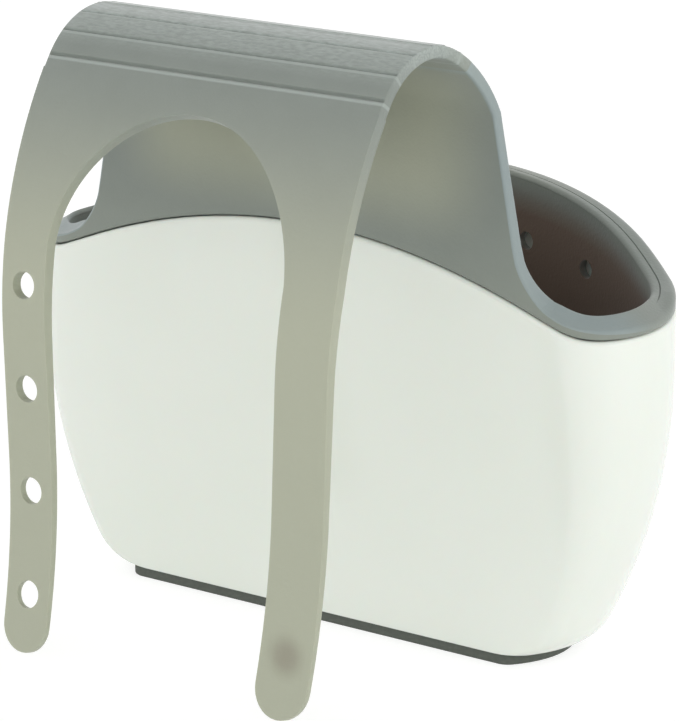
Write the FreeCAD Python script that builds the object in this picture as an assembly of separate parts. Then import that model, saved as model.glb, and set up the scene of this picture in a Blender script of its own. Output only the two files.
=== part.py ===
import FreeCAD, Part
import math
import os

# Sponge holder that hangs over a sink divider or round a tap: a hard bucket with a non-slip pad,
# and a rubber liner whose back wall rises, bends over as a saddle and ends in two button straps.
# Millimetres. +X runs along the holder, +Z is up, the flat back faces -Y, and the origin is the
# middle of the pad's underside.

# Bucket outline at the rim
rim_length = 176.0          # over both bulged ends
rim_front = 46.8            # front of the bulge, from the origin
end_radius = 33.0           # bulged ends
end_centre_y = -7.2         # centre of the bulged ends
corner_rim_radius = 19.0    # back corners at the rim
corner_foot_radius = 4.0    # back corners at the floor
corner_least_radius = 2.0   # back corners of the inner faces
back_foot_y = -18.2         # flat back at the floor
back_draft = 3.8            # lean of the flat back, degrees

# Bucket side profile
side_radius = 125.0         # bow of the sides
side_top = 70.0             # height where the sides become upright
foot_radius = 13.0          # rounding under the ends and front
foot_end_share = 0.547      # radius of the ends at the foot, as a share of the foot's depth
foot_centre_share = 0.394   # their centre from the back, as a share of the foot's depth

# Arched rim, higher round the ends at the front than at the back
rim_apex = 99.5             # height at the back's middle
rim_arch_radius = 163.0     # crown of the rim at the back
rim_turn_x = 66.0           # where the back's arch turns into the hollow at the ends
rim_ease_radius = 41.0      # hollow at the ends
rim_front_drop = 0.4        # front's middle below the back's
rim_front_radius = 280.0    # crown of the rim at the front
rim_overrun = 1.0           # how far the rim's cutting form runs past the back and the front

# Walls
shell_wall = 2.6
shell_floor = 2.6
pad_thickness = 2.4
pad_reach = 1.2             # pad's edge beyond the start of the shell's rounded foot
liner_gap = 0.6             # between shell and liner, all round
liner_wall = 2.4
liner_floor = 2.4
lip_gap = 0.3               # under the lip
lip_height = 4.0
lip_width = 6.0             # from the shell's outer face to the lip's inner edge
lip_setback = 0.2           # lip's outer face behind the shell's

# Vents in the liner's front wall
vent_diameter = 4.6
vent_spacing = 22.0
vent_count = 5
vent_below_rim = 12.0

# Saddle, a sheet that bends about X
sheet = 3.0                 # thickness
crown_height = 148.7        # top of the saddle
riser_setback = 0.8         # riser's outer face behind the shell's, at the rim
saddle_span = 49.0          # clear width between riser and straps
riser_bend_radius = 16.7    # riser side of the crown
crown_radius = 22.4         # strap side of the crown
crown_turn = 54.7           # angle that the strap side of the crown turns through, degrees
groove_count = 6            # flex grooves across the crown
strap_groove_count = 3      # those on the strap side of the apex
groove_web_gap = 0.3        # slit at the inner face
groove_mouth = 1.1          # slit at the outer face

# Front view of the riser
riser_top_half_width = 55.2
riser_root_half_width = 61.5
riser_root_drop = 1.0       # below the rim's apex, where its edges start to flare into the lip
riser_flare_radius = 14.0

# Front view of the panel and straps
cutout_drop = 17.7          # from the top of the saddle to the top of the cut-out
cutout_rise = 32.0          # height of the cut-out's arch
panel_half_width = 48.2
left_strap_width = 12.9
right_strap_width = 14.4
strap_root_x = 41.0         # strap's middle at the cut-out's spring
strap_tip_x = 37.6          # strap's middle at its tip
strap_tip_height = 1.6
strap_straight = 28.4       # straight length between the panel's bend and the straps' curl
strap_curl_radius = 175.0
strap_tip_thickness = 1.3   # straps thin out from the cut-out's spring to their tips

# Button holes in the left strap, and the bends between them in both straps
hole_diameter = 6.5
hole_pitch = 24.5
hole_first = 15.0           # height of the lowest hole
hole_count = 4
strap_slit = 0.4            # slit between strap links at mid thickness
strap_bend_out = 37.0       # bend that a slit has room for, degrees
strap_bend_in = 8.0

# Button stud on the right strap's inner face
stud_height = 15.8
stud_stem_diameter = 5.8
stud_stem_length = 2.2
stud_head_diameter = 7.4
stud_head_thickness = 1.6
stud_head_round = 0.6

# Steps that the bucket's curved profile is drawn in
foot_steps = 4
side_steps = 4
collar_steps = 3

V = FreeCAD.Vector
liner_depth = shell_wall + liner_gap                  # liner's outer face behind the shell's
shell_inside = pad_thickness + shell_floor            # height of the shell's inner floor
liner_underside = shell_inside + liner_gap
bucket_top = rim_apex + lip_gap + 2 * lip_height      # where the raw bucket forms end
room = 20.0                                           # how far cutting forms run past the part
back_lean = math.tan(math.radians(back_draft))
rim_back_y = back_foot_y - bucket_top * back_lean - rim_overrun
rim_front_y = rim_front + rim_overrun
riser_out_y = back_foot_y - rim_apex * back_lean + riser_setback     # riser's face towards the straps
riser_in_y = riser_out_y + sheet                      # riser's face towards the bucket
apex_y = riser_in_y - riser_bend_radius
riser_spring = crown_height - riser_bend_radius       # height where the riser starts to bend
strap_y = riser_out_y - saddle_span - sheet           # straps' outer face
turn = math.radians(crown_turn)
panel_radius = (apex_y - crown_radius * math.sin(turn) - strap_y) / (1 - math.sin(turn))
panel_spring = crown_height - crown_radius * (1 - math.cos(turn)) - panel_radius * math.cos(turn)
strap_curl_height = panel_spring - strap_straight
cutout_top = crown_height - cutout_drop
cutout_spring = cutout_top - cutout_rise
riser_root_height = rim_apex - riser_root_drop
groove_step = turn / strap_groove_count
groove_angles = [turn - groove_step * k for k in reversed(range(groove_count))]


def arc(a, b, c):
    return Part.Arc(a, b, c).toShape()


def line(a, b):
    return Part.makeLine(a, b)


# Bucket forms

def foot_inset(depth, floor):
    # How far the outline has drawn in where that face's rounded foot meets its flat floor.
    rise = side_top - floor - foot_radius + depth
    return side_radius - depth - math.sqrt((side_radius - foot_radius)**2 - rise**2)


def back_at(z):
    return back_foot_y - z * back_lean


def outline(z, inset, depth):
    # Level outline of the face that lies depth inside the shell's outer face.
    foot_back = back_at(pad_thickness)
    full = foot_inset(0, pad_thickness)
    foot_depth = rim_front - full - foot_back
    drawn_in = inset / full
    end_r = end_radius + (foot_end_share * foot_depth - end_radius) * drawn_in - depth
    end_y = end_centre_y + (foot_back + foot_centre_share * foot_depth - end_centre_y) * drawn_in
    end_x = rim_length / 2 - depth - inset - end_r
    front = rim_front - depth - inset
    back = back_at(z) + depth
    corner = corner_foot_radius + (corner_rim_radius - corner_foot_radius) * z / rim_apex - depth
    corner = min(max(corner, corner_least_radius), 0.96 * (end_r + end_y - back) / 2)
    front_r = (end_r**2 - end_x**2 - (end_y - front)**2) / (2 * (end_y - front + end_r))
    corner_x = end_x + math.sqrt((end_r - corner)**2 - (back + corner - end_y)**2)
    to_back = V(corner_x - end_x, back + corner - end_y, 0).normalize()
    to_front = V(end_x, end_y - front + front_r, 0).normalize()
    to_side = (to_back + to_front).normalize()
    to_corner = (to_back + V(0, -1, 0)).normalize()
    end = V(end_x, end_y, z)
    heel = V(corner_x, back + corner, z)
    right = [V(corner_x, back, z), heel + to_corner * corner, end + to_back * end_r,
             end + to_side * end_r, end + to_front * end_r]
    left = [V(-p.x, p.y, p.z) for p in right]
    edges = [line(left[0], right[0]), arc(*right[0:3]), arc(*right[2:5]),
             arc(right[4], V(0, front, z), left[4]), arc(*left[4:1:-1]), arc(*left[2::-1])]
    return Part.Wire(edges)


def collar(depth):
    # Upright top of that face's solid, from where the sides become upright to above the rim.
    heights = [side_top + (bucket_top - side_top) * k / collar_steps for k in range(collar_steps + 1)]
    return Part.makeLoft([outline(z, 0, depth) for z in heights], True, False)


def bucket(depth, floor):
    # Solid inside that face, from its floor to above the rim.
    bow = side_radius - depth
    foot = foot_radius - depth
    start = foot_inset(depth, floor)
    sweep = math.acos((side_top - floor - foot) / (bow - foot))
    rings = []
    for k in range(foot_steps + 1):
        t = sweep * k / foot_steps
        rings.append((floor + foot * (1 - math.cos(t)), start - foot * math.sin(t)))
    join = rings[-1][0]
    for k in range(1, side_steps + 1):
        z = join + (side_top - join) * k / side_steps
        rings.append((z, bow - math.sqrt(bow**2 - (side_top - z)**2)))
    body = Part.makeLoft([outline(z, inset, depth) for z, inset in rings], True, False)
    return body.fuse(collar(depth))


def back_rim_z(x):
    drop = rim_arch_radius - math.sqrt(rim_arch_radius**2 - min(x, rim_turn_x)**2)
    if x <= rim_turn_x:
        return rim_apex - drop
    slope = math.asin(rim_turn_x / rim_arch_radius)
    past = x - rim_turn_x - rim_ease_radius * math.sin(slope)
    return rim_apex - drop + rim_ease_radius * math.cos(slope) - math.sqrt(rim_ease_radius**2 - past**2)


def front_rim_z(x):
    return rim_apex - rim_front_drop - rim_front_radius + math.sqrt(rim_front_radius**2 - x**2)


def rim_profile(y, height, lift):
    # Outline in an XZ plane of everything below one edge of the rim, raised by lift.
    far = rim_length / 2 + room / 4

    def at(x):
        return V(x, y, height(abs(x)) + lift)

    mid = (rim_turn_x + far) / 2
    foot_right = V(far, y, -room)
    foot_left = V(-far, y, -room)
    return Part.Wire([arc(at(-rim_turn_x), at(0), at(rim_turn_x)), arc(at(rim_turn_x), at(mid), at(far)),
                      line(at(far), foot_right), line(foot_right, foot_left), line(foot_left, at(-far)),
                      arc(at(-far), at(-mid), at(-rim_turn_x))])


def under_rim(lift):
    # Everything below the rim, a ruled surface between its back and front edges, raised by lift.
    return Part.makeLoft([rim_profile(rim_back_y, back_rim_z, lift),
                          rim_profile(rim_front_y, front_rim_z, lift)], True, True)


def below(z):
    side = rim_length + 2 * room
    return Part.makeBox(side, side, room + z, V(-side / 2, -side / 2, -room))


# Saddle forms: faces in the YZ plane, drawn out along X and trimmed in the front view

def crown_point(angle, depth):
    # Point depth below the crown's outer face, at an angle from the apex towards the straps.
    radius = crown_radius if angle > 0 else riser_bend_radius
    return V(0, apex_y - (radius - depth) * math.sin(angle),
             crown_height - radius + (radius - depth) * math.cos(angle))


def panel_point(angle, depth):
    reach = panel_radius - depth
    return V(0, strap_y + panel_radius - reach * math.sin(angle), panel_spring + reach * math.cos(angle))


def strap_point(z, depth):
    lean = math.asin((strap_curl_height - z) / strap_curl_radius)
    reach = strap_curl_radius + depth
    return V(0, strap_y - strap_curl_radius + reach * math.cos(lean),
             strap_curl_height - reach * math.sin(lean))


def half_slit(depth, radius):
    # Half a groove's opening at that depth, as an angle about the bend's centre.
    return (groove_mouth + (groove_web_gap - groove_mouth) * depth / sheet) / 2 / (radius - depth)


def drawn(edges):
    width = 2 * (riser_root_half_width + riser_flare_radius + room)
    face = Part.Face(Part.Wire(edges))
    face.translate(V(-width / 2, 0, 0))
    return face.extrude(V(width, 0, 0))


def strip_form(first, last):
    radius = crown_radius if last > 0 else riser_bend_radius

    def ends(depth):
        gap = half_slit(depth, radius)
        return [crown_point(t, depth) for t in (first + gap, (first + last) / 2, last - gap)]

    outer, inner = ends(0), ends(sheet)
    return drawn([arc(*outer), line(outer[2], inner[2]), arc(*reversed(inner)), line(inner[0], outer[0])])


def riser_form():
    first = groove_angles[0]

    def ends(depth):
        last = first - half_slit(depth, riser_bend_radius)
        return [V(0, riser_in_y - depth, rim_apex - room)] + [
            crown_point(t, depth) for t in (-math.pi / 2, (last - math.pi / 2) / 2, last)]

    outer, inner = ends(0), ends(sheet)
    return drawn([line(outer[0], outer[1]), arc(*outer[1:]), line(outer[3], inner[3]),
                  arc(*reversed(inner[1:])), line(inner[1], inner[0]), line(inner[0], outer[0])])


def strap_thickness(z):
    down = (cutout_spring - z) / (cutout_spring - strap_tip_height)
    return sheet + (strap_tip_thickness - sheet) * max(down, 0)


def skirt_form():
    # The panel and both straps as one sheet, from the last groove to below the strap tips.
    low = strap_tip_height - strap_slit
    mid = (strap_curl_height + low) / 2
    thin = [strap_thickness(z) for z in (panel_spring, strap_curl_height, mid, low)]

    def ends(depths):
        first = turn + half_slit(depths[0], panel_radius)
        return [panel_point(first, depths[0]), panel_point((first + math.pi / 2) / 2, depths[1]),
                panel_point(math.pi / 2, depths[2]), strap_point(strap_curl_height, depths[3]),
                strap_point(mid, depths[4]), strap_point(low, depths[5])]

    outer, inner = ends([0] * 6), ends([sheet, sheet] + thin)
    return drawn([arc(*outer[:3]), line(outer[2], outer[3]), arc(*outer[3:]), line(outer[5], inner[5]),
                  arc(*reversed(inner[3:])), line(inner[3], inner[2]), arc(*reversed(inner[:3])),
                  line(inner[0], outer[0])])


# Front views: faces in an XZ plane behind the part, run through it along Y

def through(face):
    face.translate(V(0, rim_front + room, 0))
    return face.extrude(V(0, strap_y - rim_front - 3 * room, 0))


def riser_front():
    slope = V(riser_root_half_width - riser_top_half_width, 0, riser_root_height - riser_spring).normalize()
    centre = V(riser_root_half_width - slope.z * riser_flare_radius, 0,
               riser_root_height + slope.x * riser_flare_radius)
    bisect = (V(slope.z, 0, -slope.x) + V(0, 0, -1)).normalize()
    right = [V(panel_half_width, 0, crown_height + room), V(panel_half_width, 0, crown_height),
             V(riser_top_half_width, 0, riser_spring), V(riser_root_half_width, 0, riser_root_height),
             centre + bisect * riser_flare_radius, centre - V(0, 0, riser_flare_radius),
             V(centre.x, 0, side_top)]
    left = [V(-p.x, 0, p.z) for p in right]
    edges = [line(left[0], right[0]), line(right[6], left[6])]
    for side in (right, left):
        edges += [line(side[0], side[1]), line(side[1], side[2]), line(side[2], side[3]),
                  arc(*side[3:6]), line(side[5], side[6])]
    return through(Part.Face(Part.Wire(Part.__sortEdges__(edges))))


def strap_front(width):
    # Corners of the right half of the panel and its strap, from the saddle's top round to the cut-out.
    root = V(strap_root_x, 0, cutout_spring)
    tip = V(strap_tip_x, 0, strap_tip_height)
    along = (tip - root).normalize()
    out = V(-along.z, 0, along.x) * (width / 2)
    end = tip - along * (width / 2)
    return [V(panel_half_width, 0, crown_height + room), root + out, end + out, tip, end - out, root - out]


def skirt_front():
    right = strap_front(right_strap_width)
    left = [V(-p.x, 0, p.z) for p in strap_front(left_strap_width)]
    edges = [line(left[0], right[0]), arc(right[5], V(0, 0, cutout_top), left[5])]
    for side in (right, left):
        edges += [line(side[0], side[1]), line(side[1], side[2]), arc(*side[2:5]), line(side[4], side[5])]
    return through(Part.Face(Part.Wire(Part.__sortEdges__(edges))))


# Straps

def strap_x(z):
    down = (cutout_spring - z) / (cutout_spring - strap_tip_height)
    return strap_root_x + (strap_tip_x - strap_root_x) * down


def strap_place(z):
    # Point on the sheet's outer face at that height, and the directions inwards and downwards.
    if z > panel_spring:
        lean = math.asin((z - panel_spring) / panel_radius)
        face = panel_point(math.pi / 2 - lean, 0)
    elif z > strap_curl_height:
        lean = 0.0
        face = V(0, strap_y, z)
    else:
        lean = math.asin((strap_curl_height - z) / strap_curl_radius)
        face = strap_point(z, 0)
    sway = -math.sin(lean)
    return face, V(0, math.cos(lean), sway), V(0, sway, -math.cos(lean))


def slit_form(z):
    # Slit across both straps: open towards both faces so that the link below can bend either way.
    face, inwards, down = strap_place(z)
    middle = face + inwards * (strap_thickness(z) / 2)
    half = strap_slit / 2
    out = half + sheet * math.tan(math.radians(strap_bend_out / 2))
    into = half + sheet * math.tan(math.radians(strap_bend_in / 2))
    side = [(-sheet, out), (0, half), (sheet, into)]
    points = [middle + inwards * a - down * b for a, b in side]
    points += [middle + inwards * a + down * b for a, b in reversed(side)]
    return drawn(Part.makePolygon(points + points[:1]).Edges)


def hole_form(z):
    face, inwards, _ = strap_place(z)
    start = face - inwards * sheet - V(strap_x(z), 0, 0)
    return Part.makeCylinder(hole_diameter / 2, 3 * sheet, start, inwards)


# Pieces

pad_outline = outline(0, foot_inset(0, pad_thickness) - pad_reach, 0)
base_pad = Part.Face(pad_outline).extrude(V(0, 0, pad_thickness))
outer_shell = bucket(0, pad_thickness).cut(bucket(shell_wall, shell_inside)).common(under_rim(0))

lip_top = under_rim(lip_gap + lip_height)
lip_base = under_rim(lip_gap)
cup_inside = bucket(liner_depth + liner_wall, liner_underside + liner_floor)
cup = bucket(liner_depth, liner_underside).cut(cup_inside).common(under_rim(lip_gap + lip_height / 2))
for k in range(vent_count):
    x = vent_spacing * (k - (vent_count - 1) / 2)
    start = V(x, 0, front_rim_z(x) - vent_below_rim)
    cup = cup.cut(Part.makeCylinder(vent_diameter / 2, rim_front + room, start, V(0, 1, 0)))
lip = collar(lip_setback).cut(collar(lip_width)).common(lip_top).cut(lip_base)
lip_footprint = Part.Face(outline(rim_apex, 0, lip_setback))
lip_footprint.translate(V(0, 0, side_top - rim_apex))
saddle_front = riser_front()
riser = riser_form().common(saddle_front).cut(lip_base)
riser_foot = riser.common(lip_footprint.extrude(V(0, 0, riser_spring - side_top)))
riser = riser_foot.fuse(riser.cut(below(riser_spring))).removeSplitter()
liner = cup.fuse(lip).fuse(riser).removeSplitter()

crown_strips = []
for first, last in zip(groove_angles, groove_angles[1:]):
    strip = strip_form(first, last)
    if last > 0:
        strip = strip.common(Part.makeBox(2 * panel_half_width, saddle_span + room, crown_height,
                                          V(-panel_half_width, strap_y, room)))
    else:
        strip = strip.common(saddle_front)
    crown_strips.append(strip)

hole_heights = [hole_first + hole_pitch * k for k in range(hole_count)]
slit_heights = [z + hole_pitch / 2 for z in hole_heights[:-1]]
skirt = skirt_form().common(skirt_front())
skirt = skirt.cut([hole_form(z) for z in hole_heights]).cut([slit_form(z) for z in slit_heights])
lengths = sorted(skirt.Solids, key=lambda s: -s.BoundBox.ZMax)
strap_panel = lengths[0]
left_links = [s for s in lengths[1:] if s.CenterOfMass.x < 0]
right_links = [s for s in lengths[1:] if s.CenterOfMass.x > 0]

stud_face, inwards, _ = strap_place(stud_height)
stud_sunk = strap_thickness(stud_height) / 2          # stem's root inside the strap, trimmed off below
stud_foot = stud_face + inwards * stud_sunk + V(strap_x(stud_height), 0, 0)
stem = Part.makeCylinder(stud_stem_diameter / 2, stud_sunk + stud_stem_length, stud_foot, inwards)
head = Part.makeCylinder(stud_head_diameter / 2, stud_head_thickness,
                         stud_foot + inwards * (stud_sunk + stud_stem_length), inwards)
head = head.makeFillet(stud_head_round, head.Edges)
button_stud = stem.fuse(head).removeSplitter().cut(right_links[-1])

nodes = {"outer_shell": outer_shell, "base_pad": base_pad, "liner": liner, "strap_panel": strap_panel,
         "button_stud": button_stud}
for k, strip in enumerate(crown_strips):
    nodes["crown_strip_%d" % (k + 1)] = strip
for side, links in (("left", left_links), ("right", right_links)):
    for k, link in enumerate(links):
        nodes["%s_strap_link_%d" % (side, k + 1)] = link

os.makedirs("parts", exist_ok=True)
for name, shape in nodes.items():
    solids = shape.Solids
    assert shape.isValid() and len(solids) == 1, (name, shape.isValid(), len(solids))
    solids[0].exportStep("parts/" + name + ".step")
    box = shape.BoundBox
    print("%-20s %9.0f mm3  x %7.2f %7.2f  y %7.2f %7.2f  z %7.2f %7.2f" % (
        name, shape.Volume, box.XMin, box.XMax, box.YMin, box.YMax, box.ZMin, box.ZMax))
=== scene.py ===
import math
import bmesh
import bpy
from mathutils import Matrix, Vector
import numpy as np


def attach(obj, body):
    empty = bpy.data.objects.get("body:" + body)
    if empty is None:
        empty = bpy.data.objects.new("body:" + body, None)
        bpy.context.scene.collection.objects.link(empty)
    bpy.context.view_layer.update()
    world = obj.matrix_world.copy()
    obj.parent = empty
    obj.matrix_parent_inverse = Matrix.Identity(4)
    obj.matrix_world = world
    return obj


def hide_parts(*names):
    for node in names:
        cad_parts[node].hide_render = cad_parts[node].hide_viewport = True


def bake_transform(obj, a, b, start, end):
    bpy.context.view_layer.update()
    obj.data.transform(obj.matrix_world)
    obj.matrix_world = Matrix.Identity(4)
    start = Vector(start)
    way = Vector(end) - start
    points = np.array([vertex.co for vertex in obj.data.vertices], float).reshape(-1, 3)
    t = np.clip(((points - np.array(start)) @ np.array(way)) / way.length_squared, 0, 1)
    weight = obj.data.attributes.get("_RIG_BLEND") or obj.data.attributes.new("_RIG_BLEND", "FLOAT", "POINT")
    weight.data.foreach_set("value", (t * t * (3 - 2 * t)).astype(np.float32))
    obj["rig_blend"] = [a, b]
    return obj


# Sponge holder: white moulded bucket, grey rubber liner with saddle and button straps.
# Sizes below are in millimetres, finished meshes in metres.

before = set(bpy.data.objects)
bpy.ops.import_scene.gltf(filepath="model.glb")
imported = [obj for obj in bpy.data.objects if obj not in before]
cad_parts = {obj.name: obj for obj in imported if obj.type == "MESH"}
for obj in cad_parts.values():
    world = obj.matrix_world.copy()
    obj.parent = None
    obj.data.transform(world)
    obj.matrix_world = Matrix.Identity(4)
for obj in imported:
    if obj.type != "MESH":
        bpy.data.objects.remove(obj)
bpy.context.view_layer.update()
scene = bpy.context.scene
mm = 0.001
print("frame loaded,", len(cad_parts), "nodes")


def mix(a, b, share):
    return a + (b - a) * share


def clamp(share):
    return min(max(share, 0), 1)


def ease(share):
    share = clamp(share)
    return share * share * (3 - 2 * share)


def spread(a, b, count):
    return [mix(a, b, k / count) for k in range(count + 1)]


# camera: long lens, looking at the strap side from the right

camera = {"place": (522.7, -708.1, 299.9), "turn": 36.74, "down": 15.2, "lens": 188.4}

cameraData = bpy.data.cameras.new("camera")
cameraData.lens = camera["lens"]
cameraObject = bpy.data.objects.new("camera", cameraData)
scene.collection.objects.link(cameraObject)
cameraObject.location = Vector(camera["place"]) * mm
cameraObject.rotation_euler = (math.radians(90 - camera["down"]), 0, math.radians(camera["turn"]))
scene.camera = cameraObject
print("camera placed")


# materials

def colour(code):
    parts = [int(code[k:k + 2], 16) / 255 for k in (1, 3, 5)]
    return [p / 12.92 if p <= 0.04045 else ((p + 0.055) / 1.055) ** 2.4 for p in parts] + [1]


def addNode(tree, kind, settings, links):
    # settings are properties or input values, links are input name: (node, output name)
    node = tree.nodes.new(kind)
    for key, value in settings.items():
        if isinstance(key, str) and hasattr(node, key):
            setattr(node, key, value)
        else:
            node.inputs[key].default_value = value
    for key, (source, output) in links.items():
        tree.links.new(source.outputs[output], node.inputs[key])
    return node


def newMaterial(name):
    material = bpy.data.materials.new(name)
    material.use_nodes = True
    tree = material.node_tree
    tree.nodes.clear()
    return material, tree


def glossPlastic():
    # injection moulded ABS, polished tool: high gloss, slow sink waviness, faint handling haze
    material, tree = newMaterial("moulded_gloss_white_abs")
    where = addNode(tree, "ShaderNodeTexCoord", {}, {})
    sink = addNode(tree, "ShaderNodeTexNoise", {"Scale": 1 / (45 * mm), "Detail": 1.0},
                   {"Vector": (where, "Object")})
    haze = addNode(tree, "ShaderNodeTexNoise", {"Scale": 1 / (12 * mm), "Detail": 4.0},
                   {"Vector": (where, "Object")})
    tint = addNode(tree, "ShaderNodeMix",
                   {"data_type": "RGBA", "A": colour("#e4e9e0"), "B": colour("#eaeee7")},
                   {"Factor": (sink, "Fac")})
    gloss = addNode(tree, "ShaderNodeMapRange", {"To Min": 0.1, "To Max": 0.2}, {"Value": (haze, "Fac")})
    bump = addNode(tree, "ShaderNodeBump", {"Strength": 0.08, "Distance": 0.0008}, {"Height": (sink, "Fac")})
    shader = addNode(tree, "ShaderNodeBsdfPrincipled",
                     {"IOR": 1.5, "Subsurface Weight": 0.08, "Subsurface Scale": 0.002},
                     {"Base Color": (tint, "Result"), "Roughness": (gloss, "Result"),
                      "Normal": (bump, "Normal")})
    addNode(tree, "ShaderNodeOutputMaterial", {}, {"Surface": (shader, "BSDF")})
    return material


def greyRubber():
    # compression moulded translucent rubber: fine spark eroded grain, cloudy filler, soft sheen
    material, tree = newMaterial("moulded_translucent_grey_rubber")
    where = addNode(tree, "ShaderNodeTexCoord", {}, {})
    cloud = addNode(tree, "ShaderNodeTexNoise", {"Scale": 1 / (18 * mm), "Detail": 3.0},
                    {"Vector": (where, "Object")})
    # the real grain is finer, about 0.2 mm, and would not show
    grain = addNode(tree, "ShaderNodeTexNoise", {"Scale": 1 / (0.7 * mm), "Detail": 2.0},
                    {"Vector": (where, "Object")})
    tint = addNode(tree, "ShaderNodeMix",
                   {"data_type": "RGBA", "A": colour("#7c837d"), "B": colour("#888f89")},
                   {"Factor": (cloud, "Fac")})
    # point attributes tell where the rubber is paler, where painted light, sheen and highlights fall and where
    # painted shade darkens it, so that the tints move with it
    loose = addNode(tree, "ShaderNodeAttribute", {"attribute_name": "paleAndLitThrough"}, {})
    paleAndLitThrough = addNode(tree, "ShaderNodeMix", {"data_type": "RGBA", "B": colour("#aaad9a")},
                   {"Factor": (loose, "Fac"), "A": (tint, "Result")})
    # painted sheen on the crown's top, broken into fine pale streaks along the grooves, and a painted highlight on
    # each groove's raised lower edge
    draw = addNode(tree, "ShaderNodeMapping", {"Scale": (0.3, 1, 1)}, {"Vector": (where, "Object")})
    streak = addNode(tree, "ShaderNodeTexNoise", {"Scale": 1 / (0.6 * mm), "Detail": 3.0},
                     {"Vector": (draw, "Vector")})
    speck = addNode(tree, "ShaderNodeMapRange",
                    {"From Min": 0.35, "From Max": 0.7, "To Min": 0.45, "To Max": 1.3},
                    {"Value": (streak, "Fac")})
    crest = addNode(tree, "ShaderNodeAttribute", {"attribute_name": "crownSheen"}, {})
    streakedSheen = addNode(tree, "ShaderNodeMath", {"operation": "MULTIPLY"},
                  {0: (crest, "Fac"), 1: (speck, "Result")})
    # painted highlight on the raised lower edge of each groove
    grooveHighlight = addNode(tree, "ShaderNodeAttribute", {"attribute_name": "grooveHighlight"}, {})
    crownSheen = addNode(tree, "ShaderNodeMath", {"operation": "MAXIMUM"}, {0: (streakedSheen, "Value"), 1: (grooveHighlight, "Fac")})
    top = addNode(tree, "ShaderNodeMix", {"data_type": "RGBA", "B": colour("#b4bdb9")},
                  {"Factor": (crownSheen, "Value"), "A": (paleAndLitThrough, "Result")})
    # painted cool sheen, a reflection of the sky, on the near lip and the riser's edge
    coolSheen = addNode(tree, "ShaderNodeAttribute", {"attribute_name": "coolSheen"}, {})
    edge = addNode(tree, "ShaderNodeMix", {"data_type": "RGBA", "B": colour("#9fb3bd")},
                   {"Factor": (coolSheen, "Fac"), "A": (top, "Result")})
    # painted shade: darker brown inside the cup, round the vents and in the stud's spot on the strap
    inside = addNode(tree, "ShaderNodeAttribute", {"attribute_name": "inside"}, {})
    deep = addNode(tree, "ShaderNodeMix", {"data_type": "RGBA", "B": colour("#6a5a4e")},
                   {"Factor": (inside, "Fac"), "A": (edge, "Result")})
    bump = addNode(tree, "ShaderNodeBump", {"Strength": 0.35, "Distance": 0.0002}, {"Height": (grain, "Fac")})
    shader = addNode(tree, "ShaderNodeBsdfPrincipled",
                     {"IOR": 1.42, "Roughness": 0.5, "Subsurface Weight": 0.12, "Subsurface Scale": 0.002,
                      "Subsurface Radius": (1.0, 0.95, 0.8), "Sheen Weight": 0.25, "Sheen Roughness": 0.4},
                     {"Base Color": (deep, "Result"), "Normal": (bump, "Normal")})
    addNode(tree, "ShaderNodeOutputMaterial", {}, {"Surface": (shader, "BSDF")})
    return material


def padRubber():
    # die cut sheet rubber: matte, fine crumb
    material, tree = newMaterial("die_cut_dark_pad_rubber")
    where = addNode(tree, "ShaderNodeTexCoord", {}, {})
    crumb = addNode(tree, "ShaderNodeTexNoise", {"Scale": 1 / mm, "Detail": 3.0},
                    {"Vector": (where, "Object")})
    tint = addNode(tree, "ShaderNodeMix",
                   {"data_type": "RGBA", "A": colour("#4b5049"), "B": colour("#5c615a")},
                   {"Factor": (crumb, "Fac")})
    bump = addNode(tree, "ShaderNodeBump", {"Strength": 0.4, "Distance": 0.0002}, {"Height": (crumb, "Fac")})
    shader = addNode(tree, "ShaderNodeBsdfPrincipled", {"Roughness": 0.75},
                     {"Base Color": (tint, "Result"), "Normal": (bump, "Normal")})
    addNode(tree, "ShaderNodeOutputMaterial", {}, {"Surface": (shader, "BSDF")})
    return material


white = glossPlastic()
rubber = greyRubber()
dark = padRubber()
print("materials made")


# bucket form, as in the CAD part

form = {"halfLength": 88, "front": 46.8, "endRadius": 33, "endY": -7.2, "cornerRim": 19, "cornerFoot": 4,
        "cornerLeast": 2, "backFoot": -18.2, "backLean": math.tan(math.radians(3.8)), "sideRadius": 125,
        "sideTop": 70, "footRadius": 13, "footEndShare": 0.547, "footCentreShare": 0.394, "rimApex": 99.5,
        "archRadius": 163, "turnX": 66, "easeRadius": 41, "frontDrop": 0.4, "frontRadius": 280,
        "rimBackY": -26.36, "rimFrontY": 47.8, "padTop": 2.4, "cornerMost": 0.96, "stationDepth": 1.6}


def footInset(depth, floor):
    rise = form["sideTop"] - floor - form["footRadius"] + depth
    return form["sideRadius"] - depth - math.sqrt((form["sideRadius"] - form["footRadius"]) ** 2 - rise ** 2)


def backAt(z):
    return form["backFoot"] - z * form["backLean"]


def backRimZ(x):
    drop = form["archRadius"] - math.sqrt(form["archRadius"] ** 2 - min(x, form["turnX"]) ** 2)
    if x <= form["turnX"]:
        return form["rimApex"] - drop
    slope = math.asin(form["turnX"] / form["archRadius"])
    past = x - form["turnX"] - form["easeRadius"] * math.sin(slope)
    rise = form["easeRadius"] * math.cos(slope) - math.sqrt(form["easeRadius"] ** 2 - past ** 2)
    return form["rimApex"] - drop + rise


def rimZ(x, y):
    # ruled between the rim's back and front profiles
    fall = form["frontRadius"] - math.sqrt(form["frontRadius"] ** 2 - x ** 2)
    front = form["rimApex"] - form["frontDrop"] - fall
    return mix(backRimZ(abs(x)), front, (y - form["rimBackY"]) / (form["rimFrontY"] - form["rimBackY"]))


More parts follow.
